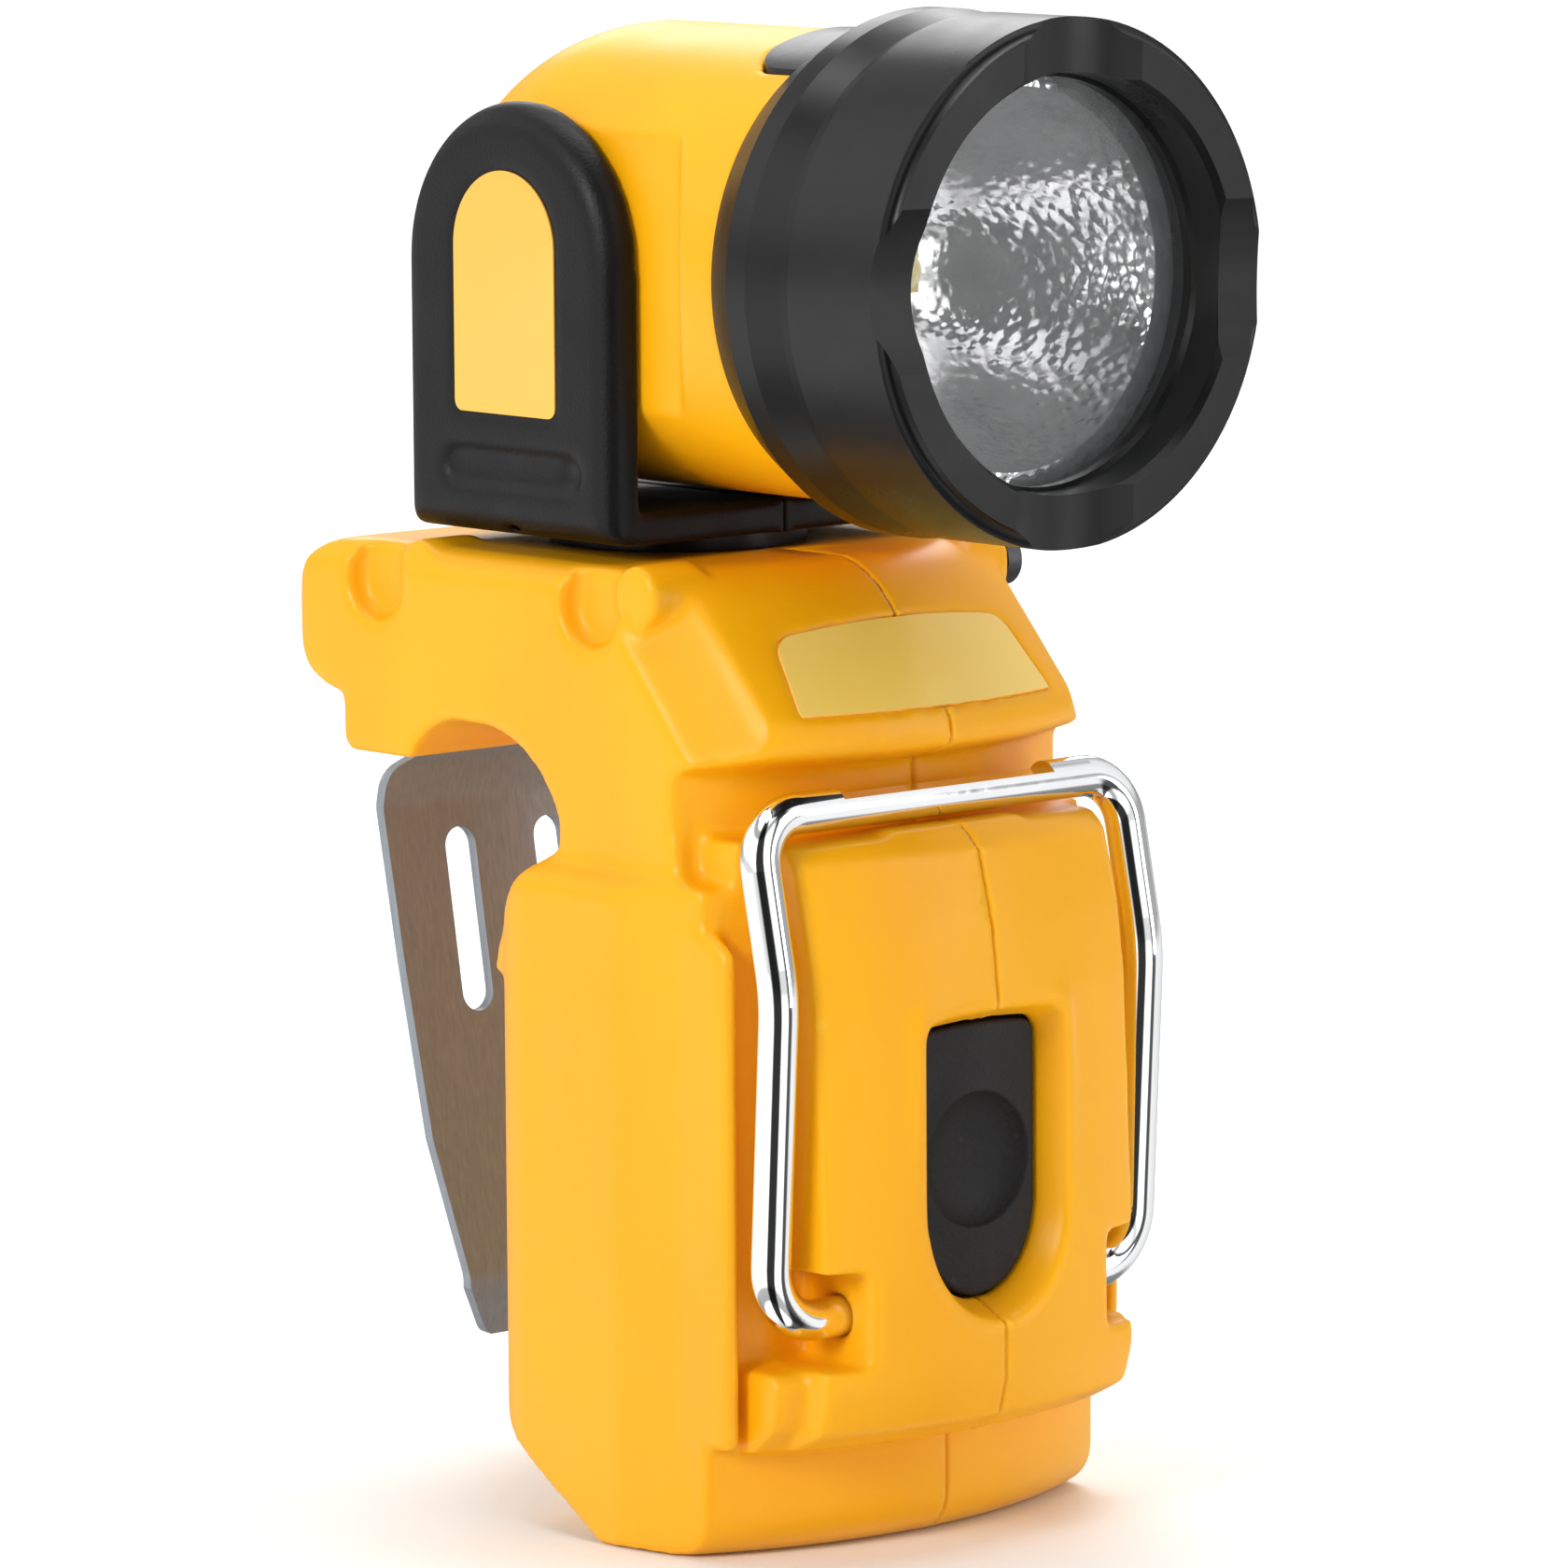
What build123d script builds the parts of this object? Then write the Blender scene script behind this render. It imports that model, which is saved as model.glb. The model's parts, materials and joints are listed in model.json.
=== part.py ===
from build123d import *
import os
from math import cos, radians, sin, tan

# Battery work light: a spot head that tilts in a yoke, a yoke that swivels on
# the body, a wire bail on the front, a belt clip behind and a slide-in battery.
# Millimetres. +X right, -Y to the front (switch and lens), +Z up.
# The origin is at the middle of the face that the light stands on.

os.makedirs("parts", exist_ok=True)

# ---------------------------------------------------------------- driving sizes
WALL = 1.9                   # moulded shell wall
FIT = 0.3                    # running gap between parts that move on each other
HAIR = 0.1                   # assembly gap between parts that stay put
SHAFT = 0.07                 # radial play of a pivot

LOWER_HALF = 30.5            # half width of the battery housing
UPPER_HALF = 28.2            # half width of the upper body
BOW_Y = 42.0                 # the front faces are arcs about an upright axis at this Y
BACK_Y = 23.5                # back of the battery housing
BACK_CORNER = 8.0
LOWER_TOP = 73.2
TOP_Z = 105.3                # top of the body
NOSE_Y = 49.0                # centre of the rounded tail
NOSE_R = 8.5
NOSE_Z = TOP_Z - NOSE_R
CHAMFER_Y = 4.0              # the underside rises behind this line
CHAMFER_RISE = 0.637         # rise per mm
FOOT_Z = 12.0                # lower edge of the raised front panel
PANEL_HALF = 22.5
PANEL_Y = -28.5              # most forward line of the panel
PANEL_TOP = 77.4
WING_HALF = 26.0             # the panel's foot is wider below the bail
WING_TOP = 21.2
FLANGE_R = 64.6
FLANGE_IN = 27.1
FLANGE_OUT = 28.9
FLANGE_TOP = 68.0
BAND_HALF = 22.3             # raised slanted band that carries the name plate
BAND_LOW = (-19.3, 90.4)
BAND_HIGH = (-10.8, 100.4)

TILT_Y = 24.0                # tilt axis, along X
TILT_Z = 136.7
HEAD_R = 25.3
HEAD_WALL = 2.0
HEAD_FRONT = -10.8
FACET = 20.4                 # flats on the head that clear the yoke arms
ARM_IN = 20.8
ARM_OUT = 25.0
ARM_R = 17.6
YOKE_LOW = 107.1
YOKE_FLOOR = 110.7
BEZEL_FRONT = -40.0
TRUNNION_R = 6.0
TRUNNION_END = 23.0

HEAD_SCREWS = [(9.0, 148.5), (9.0, 124.9)]
TAB_HALF = 13.2              # tongue of the collar on top of the head
TAB_BACK = -2.8
SCALLOP_R = 20.0             # four scallops in the bezel's front rim
SCALLOP_Y = -58.1

SPIGOT_R = 8.0
SPIGOT_LOW = 98.0
COLLAR_R = 14.2

WIRE_R = 2.25                # bail wire
BAIL_HALF = 26.6
BAIL_BEND = 6.5
PIVOT_Y = -20.0              # bail pivot axis, along X
PIVOT_Z = 26.5
SOCKET_END = 12.7
POCKET_IN = 17.4

BUTTON_HALF = 8.3
BUTTON_FACE = -24.0
BUTTON_LOW = 27.0
BUTTON_TOP = 56.4
DISH_Z = 41.8
WELL_BACK = -22.2

CELL_R = 9.1
CELL_LEN = 65.0
CELL_SPOTS = [(-18.3, 1.3), (0, -1.2), (18.3, 1.3)]
CELL_LOW = 5.7
PACK_HALF = 28.5
PACK_BOW = 54.5              # front of the pack about the bow axis
PACK_BACK = 21.2
TOWER_BACK = 11.4
PACK_SHOULDER = 55.0
PACK_TOP = 71.9
TURRET = ((-16.0, 16.0), (-9.0, 6.0))
TURRET_TOP = 76.2
BAY_GAP = 0.25
BLADE_XS = (-9.0, 0, 9.0)

CLIP_T = 1.3
CLIP_SCREW_X = 8.0
CLIP_SCREW_Z = 96.5
CLIP_TAB_Y = 50.05

SCREW_R = 1.4
SCREW_HEAD_R = 2.9
SCREW_HEAD_T = 2.0
TOP_SCREWS = [(0.5, 102.6), (36.5, 102.6)]
LOW_SCREWS = [(-17.2, 16.5)]
TOP_SEAT = 25.0
LOW_SEAT = 19.6

BOW_AXIS = Axis((0, BOW_Y, 0), (0, 0, 1))
LENS_AXIS = Axis((0, 0, TILT_Z), (0, 1, 0))
SIDE = Plane.YZ              # sketches here read (Y, Z)


# -------------------------------------------------------------- shape helpers
def save(part, label):
    part.label = label
    export_step(part, f"parts/{label}.step")
    return part


def at_y(y):
    """Plane facing the front at Y = y; its sketches read (X, Z)."""
    return Plane(origin=(0, y, 0), x_dir=(1, 0, 0), z_dir=(0, -1, 0))


def corners(sketch, x, y):
    """Corners of a sketch that lie at +-x, y."""
    return [v for v in sketch.vertices() if abs(abs(v.X) - x) < HAIR and abs(v.Y - y) < HAIR]


def box(x, y, z):
    """Box between pairs of X, Y and Z."""
    with BuildPart() as block:
        with BuildSketch(Plane.XY.offset(min(z))):
            with Locations((sum(x) / 2, sum(y) / 2)):
                Rectangle(abs(x[1] - x[0]), abs(y[1] - y[0]))
        extrude(amount=abs(z[1] - z[0]))
    return block.part


def rod(start, end, r):
    """Cylinder between two points."""
    way = Vector(*end) - Vector(*start)
    with BuildPart() as bar:
        with BuildSketch(Plane(origin=start, z_dir=way)):
            Circle(r)
        extrude(amount=way.length)
    return bar.part


def rod_x(x, y, z, r):
    return rod((x[0], y, z), (x[1], y, z), r)


def rod_y(x, y, z, r):
    return rod((x, y[0], z), (x, y[1], z), r)


def rod_z(x, y, z, r):
    return rod((x, y, z[0]), (x, y, z[1]), r)


def slab_x(points, x):
    """Solid with a polygon (Y, Z) outline between two X values."""
    with BuildPart() as slab:
        with BuildSketch(SIDE.offset(min(x))):
            with BuildLine():
                Polyline(*points, close=True)
            make_face()
        extrude(amount=abs(x[1] - x[0]))
    return slab.part


def turned(points):
    """Solid of revolution about the lens axis from (radius, Y) points."""
    with BuildPart() as piece:
        with BuildSketch(Plane.XY.offset(TILT_Z)):
            with BuildLine():
                Polyline(*points, close=True)
            make_face()
        revolve(axis=LENS_AXIS)
    return piece.part


def washer(r_out, r_in, z):
    """Flat ring on the swivel axis."""
    with BuildPart() as ring:
        with BuildSketch(Plane.XY.offset(z[0])):
            with Locations((0, TILT_Y)):
                Circle(r_out)
                Circle(r_in, mode=Mode.SUBTRACT)
        extrude(amount=z[1] - z[0])
    return ring.part


def bowed(points, half):
    """Polygon (Y, Z) turned about the bow axis and cut to a half width."""
    low = min(z for _, z in points)
    high = max(z for _, z in points)
    with BuildPart() as piece:
        with BuildSketch(SIDE):
            with BuildLine():
                Polyline(*points, close=True)
            make_face()
        revolve(axis=BOW_AXIS)
        with BuildSketch(Plane.XY.offset(low - 1)):
            with Locations((0, -1)):
                Rectangle(2 * half, 2 * BOW_Y)
        extrude(amount=high - low + 2, mode=Mode.INTERSECT)
    return piece.part


def bent(points, bends):
    """Wire through the points, each inner corner rounded to its bend radius."""
    spots = [Vector(*p) for p in points]
    edges = []
    start = spots[0]
    for before, corner, after, bend in zip(spots, spots[1:], spots[2:], bends):
        into = (before - corner).normalized()
        away = (after - corner).normalized()
        half = radians(into.get_angle(away)) / 2
        reach = bend / tan(half)
        middle = corner + (into + away).normalized() * (bend / sin(half) - bend)
        edges.append(Edge.make_line(start, corner + into * reach))
        edges.append(Edge.make_three_point_arc(corner + into * reach, middle, corner + away * reach))
        start = corner + away * reach
    edges.append(Edge.make_line(start, spots[-1]))
    return Wire(edges)


def piped(points, bends, r):
    """Round wire along a bent path."""
    path = bent(points, bends)
    with BuildPart() as pipe:
        with BuildSketch(Plane(origin=path @ 0, z_dir=path % 0)):
            Circle(r)
        sweep(path=path)
    return pipe.part


def screw(start, end, r, head_r, head_t):
    """Screw from its tip to the seat of its head, with a hex recess in the head."""
    way = (Vector(*end) - Vector(*start)).normalized()
    top = Vector(*end) + way * head_t
    with BuildPart() as fastener:
        add(rod(start, end, r))
        add(rod(end, tuple(top), head_r))
        with BuildSketch(Plane(origin=top, z_dir=way)):
            RegularPolygon(head_r * 0.5, 6)
        extrude(amount=-head_t * 0.6, mode=Mode.SUBTRACT)
    return fastener.part


# ----------------------------------------------------------------- body outline
def side_view():
    """Side view of the whole body, as a slab across its width."""
    low = CHAMFER_RISE * (BACK_Y - CHAMFER_Y)
    with BuildPart() as slab:
        with BuildSketch(SIDE.offset(-LOWER_HALF)):
            with BuildLine():
                Line((-36, 0), (CHAMFER_Y, 0))
                Line((CHAMFER_Y, 0), (BACK_Y, low))
                Line((BACK_Y, low), (BACK_Y, 57))
                ThreePointArc((BACK_Y, 57), (20.4, 67.5), (12.2, 74.5))
                Line((12.2, 74.5), (12.2, 77.4))
                ThreePointArc((12.2, 77.4), (17.6, 84.3), (27.0, 86.7))
                ThreePointArc((27.0, 86.7), (33.4, 85.7), (37.2, 81.9))
                Line((37.2, 81.9), (47.6, 81.9))
                Line((47.6, 81.9), (48.6, 83.0))
                Line((48.6, 83.0), (48.6, NOSE_Z - NOSE_R))
                Line((48.6, NOSE_Z - NOSE_R), (NOSE_Y, NOSE_Z - NOSE_R))
                ThreePointArc((NOSE_Y, NOSE_Z - NOSE_R), (NOSE_Y + NOSE_R, NOSE_Z), (NOSE_Y, TOP_Z))
                Line((NOSE_Y, TOP_Z), (-36, TOP_Z))
                Line((-36, TOP_Z), (-36, 0))
            make_face()
        extrude(amount=2 * LOWER_HALF)
    return slab.part


def front_view():
    """Body turned about the bow axis: rounded foot, bail groove, slanted band."""
    with BuildPart() as turn:
        with BuildSketch(SIDE):
            with BuildLine():
                Line((BOW_Y, 0), (-14.6, 0))
                ThreePointArc((-14.6, 0), (-17.6, 1.5), (-18.9, 4.8))
                Line((-18.9, 4.8), (-18.9, 77.6))
                Line((-18.9, 77.6), (-14.0, 77.6))
                Line((-14.0, 77.6), (-14.0, 84.4))
                Line((-14.0, 84.4), (-19.6, 86.2))
                Line((-19.6, 86.2), (-20.2, 87.2))
                ThreePointArc((-20.2, 87.2), (-19.95, 88.9), BAND_LOW)
                Line(BAND_LOW, BAND_HIGH)
                ThreePointArc(BAND_HIGH, (-7.6, 103.4), (-3.0, TOP_Z))
                Line((-3.0, TOP_Z), (BOW_Y, TOP_Z))
                Line((BOW_Y, TOP_Z), (BOW_Y, 0))
            make_face()
        revolve(axis=BOW_AXIS)
    return turn.part


def shoulder_view(half, low, top, r):
    """Front view of a block with rounded shoulders, as a long bar along Y."""
    with BuildPart() as bar:
        with BuildSketch(at_y(75)) as face:
            with Locations((0, (low + top) / 2)):
                Rectangle(2 * half, top - low)
            fillet(corners(face, half, top), radius=r)
        extrude(amount=120)
    return bar.part


def lower_block(envelope):
    """Battery housing up to its shoulder."""
    with BuildPart() as block:
        add(envelope)
        with BuildSketch(Plane.XY) as plan:
            with BuildLine():
                right = Polyline(
                    (0, BACK_Y),
                    (LOWER_HALF, BACK_Y),
                    (LOWER_HALF, 0.5),
                    (28.6, -9.5),
                    (28.6, -36),
                    (0, -36),
                )
                mirror(right, about=Plane.YZ)
            make_face()
            fillet(corners(plan, LOWER_HALF, BACK_Y), radius=BACK_CORNER)
        extrude(amount=LOWER_TOP, mode=Mode.INTERSECT)
        add(shoulder_view(LOWER_HALF, -5, LOWER_TOP, 3.0), mode=Mode.INTERSECT)
    return block.part


def upper_block(envelope):
    """Neck, slanted front band, overhang and tail."""
    tail = NOSE_Y + NOSE_R
    with BuildPart() as block:
        add(envelope)
        with BuildSketch(Plane.XY.offset(60)) as plan:
            with Locations((0, tail / 2 - 18)):
                Rectangle(2 * UPPER_HALF, tail + 36)
            fillet(corners(plan, UPPER_HALF, tail), radius=3.2)
        extrude(amount=60, mode=Mode.INTERSECT)
        add(shoulder_view(UPPER_HALF, 50, TOP_Z, 3.2), mode=Mode.INTERSECT)
        # bevels beside the slanted band
        cross = Plane(origin=(0, -24.4, 84.4), x_dir=(1, 0, 0), z_dir=(0, 0.648, 0.762))
        for side in (-1, 1):
            with BuildSketch(cross):
                with BuildLine():
                    Polyline(
                        (side * BAND_HALF, -4),
                        (side * BAND_HALF, 4.3),
                        (side * 25.3, 7.7),
                        (side * 28.3, 10.9),
                        (side * 32, 10.9),
                        (side * 32, -4),
                        close=True,
                    )
                make_face()
        extrude(amount=40, mode=Mode.SUBTRACT)
        # scoops behind the two screw towers
        for side in (-1, 1):
            for y, z in TOP_SCREWS:
                add(rod_x((side * 25.7, side * 32), y + 6.2, z - 1.2, 4.6), mode=Mode.SUBTRACT)
    return block.part


def raised_panel():
    """Raised front panel, its wider foot and the lips outside the bail."""
    front = PANEL_Y
    with BuildPart() as raised:
        add(bowed([
            (-17.0, FOOT_Z),
            (front + 6.0, FOOT_Z),
            (front + 1.2, FOOT_Z + 2.6),
            (front, FOOT_Z + 7.0),
            (front, 30.0),
            (front + 1.2, 60.0),
            (front + 2.1, 67.5),
            (front + 4.2, PANEL_TOP - 1.8),
            (front + 6.2, PANEL_TOP),
            (-17.0, PANEL_TOP),
        ], PANEL_HALF))
        add(bowed([
            (-17.0, FOOT_Z),
            (front + 7.0, FOOT_Z),
            (front + 3.4, FOOT_Z + 3.2),
            (front + 2.7, WING_TOP - 1.2),
            (front + 3.9, WING_TOP),
            (-17.0, WING_TOP),
        ], WING_HALF))
        add(bowed([
            (-17.4, PANEL_TOP - 1.0),
            (-22.8, PANEL_TOP - 1.0),
            (-21.6, PANEL_TOP + 0.6),
            (-17.4, PANEL_TOP + 0.6),
        ], 9.6))
    return raised.part


def side_lips():
    """Upright lips outside the bail's legs."""
    front = BOW_Y - FLANGE_R
    with BuildPart() as lips:
        add(bowed([
            (-14.0, FOOT_Z + 0.4),
            (front + 0.8, FOOT_Z + 0.4),
            (front, FOOT_Z + 1.6),
            (front, FLANGE_TOP - 2.0),
            (front + 2.4, FLANGE_TOP),
            (-14.0, FLANGE_TOP),
        ], FLANGE_OUT))
        add(box((-FLANGE_IN, FLANGE_IN), (-60, 60), (0, 90)), mode=Mode.SUBTRACT)
        add(box((-40, 40), (-8.0, 60), (0, 90)), mode=Mode.SUBTRACT)
    return lips.part


# ----------------------------------------------------------------- body hollows
def pack_form(gap, low, high):
    """Battery outline in plan between two heights, grown by a gap."""
    half = PACK_HALF + gap
    back = PACK_BACK + gap
    with BuildPart() as form:
        with BuildSketch(Plane.XY.offset(low)) as plan:
            with Locations((0, BOW_Y)):
                Circle(PACK_BOW + gap)
            with Locations((0, back - 30)):
                Rectangle(2 * half, 60, mode=Mode.INTERSECT)
            front = plan.vertices().sort_by(Axis.Y)[:2]
            fillet(front, radius=7.0)
            fillet(corners(plan, half, back), radius=5.0)
        extrude(amount=high - low)
    return form.part


def pack_solid(gap):
    """Battery outline in three steps: housing, tower over the cells, turret."""
    back = TOWER_BACK + gap
    (x0, x1), (y0, y1) = TURRET
    with BuildPart() as form:
        add(pack_form(gap, -1, PACK_TOP + gap))
        add(box((-40, 40), (back, 60), (PACK_SHOULDER + gap, 90)), mode=Mode.SUBTRACT)
        add(box((x0 - gap, x1 + gap), (y0 - gap, y1 + gap), (PACK_TOP - 2, TURRET_TOP + gap)))
    return form.part


def upper_hollow():
    """Space for the electronics under the swivel."""
    top = TOP_Z - 2.2
    with BuildPart() as space:
        add(slab_x([
            (-30, 78.5),
            (9.8, 78.5),
            (16.2, 86.2),
            (24.0, 88.8),
            (44.5, 88.8),
            (46.0, 91.0),
            (46.0, top),
            (-30, top),
        ], (-24.4, 24.4)))
        with BuildSketch(SIDE):
            with BuildLine():
                Polyline(
                    (BOW_Y, 78.0),
                    (-12.0, 78.0),
                    (-12.0, 86.4),
                    (-17.6, 87.8),
                    (-17.4, 89.8),
                    (-9.2, 99.4),
                    (-2.6, top),
                    (BOW_Y, top),
                    close=True,
                )
            make_face()
        revolve(axis=BOW_AXIS, mode=Mode.INTERSECT)
        cross = Plane(origin=(0, -24.4, 84.4), x_dir=(1, 0, 0), z_dir=(0, 0.648, 0.762))
        for side in (-1, 1):
            with BuildSketch(cross):
                with BuildLine():
                    Polyline(
                        (side * 20.4, -4),
                        (side * 20.4, 6.4),
                        (side * 26.4, 13.0),
                        (side * 32, 13.0),
                        (side * 32, -4),
                        close=True,
                    )
                make_face()
        extrude(amount=40, mode=Mode.SUBTRACT)
    return space.part


def panel_hollow():
    """Space for the switch behind the raised panel, clear of the bail's sockets."""
    with BuildPart() as space:
        add(bowed([
            (BOW_Y - 57.0, 16.5),
            (-24.4, 16.5),
            (-26.4, 19.5),
            (-26.4, 30.0),
            (-25.3, 60.0),
            (-24.4, 67.5),
            (-22.4, 75.0),
            (BOW_Y - 57.0, 75.0),
        ], PANEL_HALF - WALL))
        for side in (-1, 1):
            add(box((side * 15.4, side * 30), (-40, 0), (WING_TOP - 1.6, 34.0)), mode=Mode.SUBTRACT)
    return space.part


# ------------------------------------------------------------------ body shells
def button_face(half):
    """Closed outline of the push button: flat top, round bottom. Adds to a sketch."""
    grow = half - BUTTON_HALF
    low = BUTTON_LOW - grow
    top = BUTTON_TOP + grow
    bend = low + half * 1.2
    with BuildSketch() as face:
        with BuildLine():
            Line((-half, top - 1.8), (-half, bend))
            EllipticalCenterArc((0, bend), half, half * 1.2, 180, arc_size=180)
            Line((half, bend), (half, top - 1.8))
            RadiusArc((half, top - 1.8), (half - 1.8, top), -1.8)
            ThreePointArc((half - 1.8, top), (0, top + 0.3), (1.8 - half, top))
            RadiusArc((1.8 - half, top), (-half, top - 1.8), -1.8)
        make_face()
    return face.sketch


def button_prism(half, y_front, y_back):
    """Button outline swept between two Y stations."""
    with BuildPart() as prism:
        with BuildSketch(at_y(y_back)):
            add(button_face(half))
        extrude(amount=y_back - y_front)
    return prism.part


def button_mouth():
    """Flared mouth of the switch opening."""
    with BuildPart() as flare:
        with BuildSketch(at_y(-23.8)):
            add(button_face(BUTTON_HALF + 0.35))
        with BuildSketch(at_y(-29.4)):
            add(button_face(BUTTON_HALF + 2.8))
        loft()
    return flare.part


def plate_slab(skin, depth, grow):
    """Slab that follows the slanted band between two depths, with the plate's outline."""
    along = (0.648, 0.762)
    out = (-0.762, 0.648)
    ends = [(BAND_LOW, 0.35 - grow), (BAND_HIGH, -1.2 + grow)]
    ring = [(p[0] + along[0] * s + out[0] * skin, p[1] + along[1] * s + out[1] * skin) for p, s in ends]
    ring += [
        (p[0] + along[0] * s - out[0] * depth, p[1] + along[1] * s - out[1] * depth)
        for p, s in ends[::-1]
    ]
    with BuildPart() as slab:
        with BuildSketch(SIDE):
            with BuildLine():
                Polyline(*ring, close=True)
            make_face()
        revolve(axis=BOW_AXIS)
        slant = Plane(origin=(0, -15.05, 95.4), x_dir=(1, 0, 0), z_dir=(0, -0.762, 0.648))
        with BuildSketch(slant.offset(-12)) as face:
            with BuildLine():
                Polyline(
                    (-18.4 - grow, -6.3 - grow),
                    (18.4 + grow, -6.3 - grow),
                    (16.3 + grow, 5.4 + grow),
                    (-16.3 - grow, 5.4 + grow),
                    close=True,
                )
            make_face()
            fillet(face.vertices(), radius=2.4)
        extrude(amount=20, mode=Mode.INTERSECT)
    return slab.part


def body_solid():
    """Both shells in one piece, before the parting cut."""
    with BuildPart() as shape:
        add(side_view())
        add(front_view(), mode=Mode.INTERSECT)
    envelope = shape.part
    with BuildPart() as body:
        add(lower_block(envelope))
        add(upper_block(envelope))
        add(raised_panel())
        add(side_lips())
        add(pack_solid(BAY_GAP), mode=Mode.SUBTRACT)
        add(upper_hollow(), mode=Mode.SUBTRACT)
        add(panel_hollow(), mode=Mode.SUBTRACT)
        # well round the switch opening
        add(button_prism(BUTTON_HALF + 3.0, -27.3, WELL_BACK))
        add(button_prism(BUTTON_HALF + 0.35, -32.0, WELL_BACK + 1), mode=Mode.SUBTRACT)
        add(button_mouth(), mode=Mode.SUBTRACT)
        # screw towers and board posts
        for y, z in TOP_SCREWS:
            add(rod_x((-20.0, 20.0), y, z, 2.3))
            add(rod_x((-27.2, -19.0), y, z, 3.5))
            add(rod_x((19.0, TOP_SEAT), y, z, 3.5))
        for y, z in LOW_SCREWS:
            add(rod_x((-LOW_SEAT, LOW_SEAT), y, z, 3.0))
        for side in (-1, 1):
            add(rod_x((side * (SOCKET_END - 1.6), side * 16.0), PIVOT_Y, PIVOT_Z, 4.4))
            add(rod_z(side * 16, -4, (77.5, 90.3), 1.8))
            add(rod_z(side * 16, 40, (87.5, 90.3), 1.8))
    return body.part


def body_openings(body):
    """Body with its sockets, pockets, screw holes and recesses."""
    with BuildPart() as cut:
        add(body)
        for side in (-1, 1):
            # pocket and socket of the bail, scoop by its upper corner
            add(box((side * POCKET_IN, side * 24.2), (-32.0, -14.8), (WING_TOP + 0.3, 32.0)),
                mode=Mode.SUBTRACT)
            add(rod_x((side * SOCKET_END, side * 20), PIVOT_Y, PIVOT_Z, WIRE_R + SHAFT),
                mode=Mode.SUBTRACT)
            with BuildSketch(SIDE.offset(side * 25.2)) as scoop:
                with BuildLine():
                    Polyline((-24.0, 87.0), (-13.0, 85.2), (-7.4, 81.6), (-7.4, 73.0), (-24.0, 71.0),
                             close=True)
                make_face()
                fillet([v for v in scoop.vertices() if v.X > -8], radius=2.6)
            extrude(amount=side * 8, mode=Mode.SUBTRACT)
        # swivel hole and its seat
        add(rod_z(0, TILT_Y, (TOP_Z - 5, TOP_Z + 1), SPIGOT_R + SHAFT), mode=Mode.SUBTRACT)
        add(rod_z(0, TILT_Y, (TOP_Z - 0.4, TOP_Z + 1), COLLAR_R + 1.0), mode=Mode.SUBTRACT)
        add(plate_slab(2.0, 0.95, 0.12), mode=Mode.SUBTRACT)
        # clip slot and the two counterbored screw holes behind it
        gap = CLIP_T / 2 + HAIR
        add(box((-13.3, 13.3), (CLIP_TAB_Y - gap, CLIP_TAB_Y + gap), (87.0, 101.4)), mode=Mode.SUBTRACT)
        for x in (-CLIP_SCREW_X, CLIP_SCREW_X):
            add(rod_y(x, (55.4, 70), CLIP_SCREW_Z, SCREW_HEAD_R + HAIR), mode=Mode.SUBTRACT)
            add(rod_y(x, (45.0, 70), CLIP_SCREW_Z, SCREW_R + 0.05), mode=Mode.SUBTRACT)
        # side screws
        for y, z in TOP_SCREWS:
            add(rod_x((-20.5, 40), y, z, SCREW_R + 0.05), mode=Mode.SUBTRACT)
            add(rod_x((TOP_SEAT, 40), y, z, SCREW_HEAD_R + HAIR), mode=Mode.SUBTRACT)
        for y, z in LOW_SCREWS:
            add(rod_x((-17.5, 40), y, z, SCREW_R + 0.05), mode=Mode.SUBTRACT)
            add(rod_x((LOW_SEAT, 40), y, z, SCREW_HEAD_R + HAIR), mode=Mode.SUBTRACT)
        # terminal opening and the way for the switch leads
        add(box((-12.1, 12.1), (-5.1, 2.1), (75.0, 80.0)), mode=Mode.SUBTRACT)
        add(box((9.4, 11.6), (-15.4, -8.6), (74.0, 76.4)), mode=Mode.SUBTRACT)
        add(box((9.4, 11.6), (-11.2, -8.6), (76.0, 80.0)), mode=Mode.SUBTRACT)
    return cut.part


def half_of(part, side, seam=0.02):
    """The part of a solid on one side of the parting plane."""
    with BuildPart() as piece:
        add(part)
        add(box((side * seam, -side * 80), (-90, 120), (-20, 200)), mode=Mode.SUBTRACT)
    return piece.part


housing = body_openings(body_solid())
save(half_of(housing, -1), "body_left_shell")
save(half_of(housing, 1), "body_right_shell")

with BuildPart() as body_screws:
    for y, z in TOP_SCREWS:
        add(screw((-19.5, y, z), (TOP_SEAT + HAIR / 2, y, z), SCREW_R, SCREW_HEAD_R, SCREW_HEAD_T))
    for y, z in LOW_SCREWS:
        add(screw((-16.5, y, z), (LOW_SEAT + HAIR / 2, y, z), SCREW_R, SCREW_HEAD_R, SCREW_HEAD_T))
save(body_screws.part, "body_screws")

save(plate_slab(-0.15, 0.85, 0.0), "name_plate")


def sheet(points, bends, x):
    """Bent sheet: a (Y, Z) centre line of clip thickness between two X values."""
    path = bent([(x[0], y, z) for y, z in points], bends)
    first = path @ 0
    with BuildPart() as strip:
        with BuildSketch(Plane(origin=first, x_dir=(1, 0, 0), z_dir=path % 0)):
            with Locations(((x[1] - x[0]) / 2, 0)):
                Rectangle(x[1] - x[0], CLIP_T)
        sweep(path=path)
    return strip.part


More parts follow.
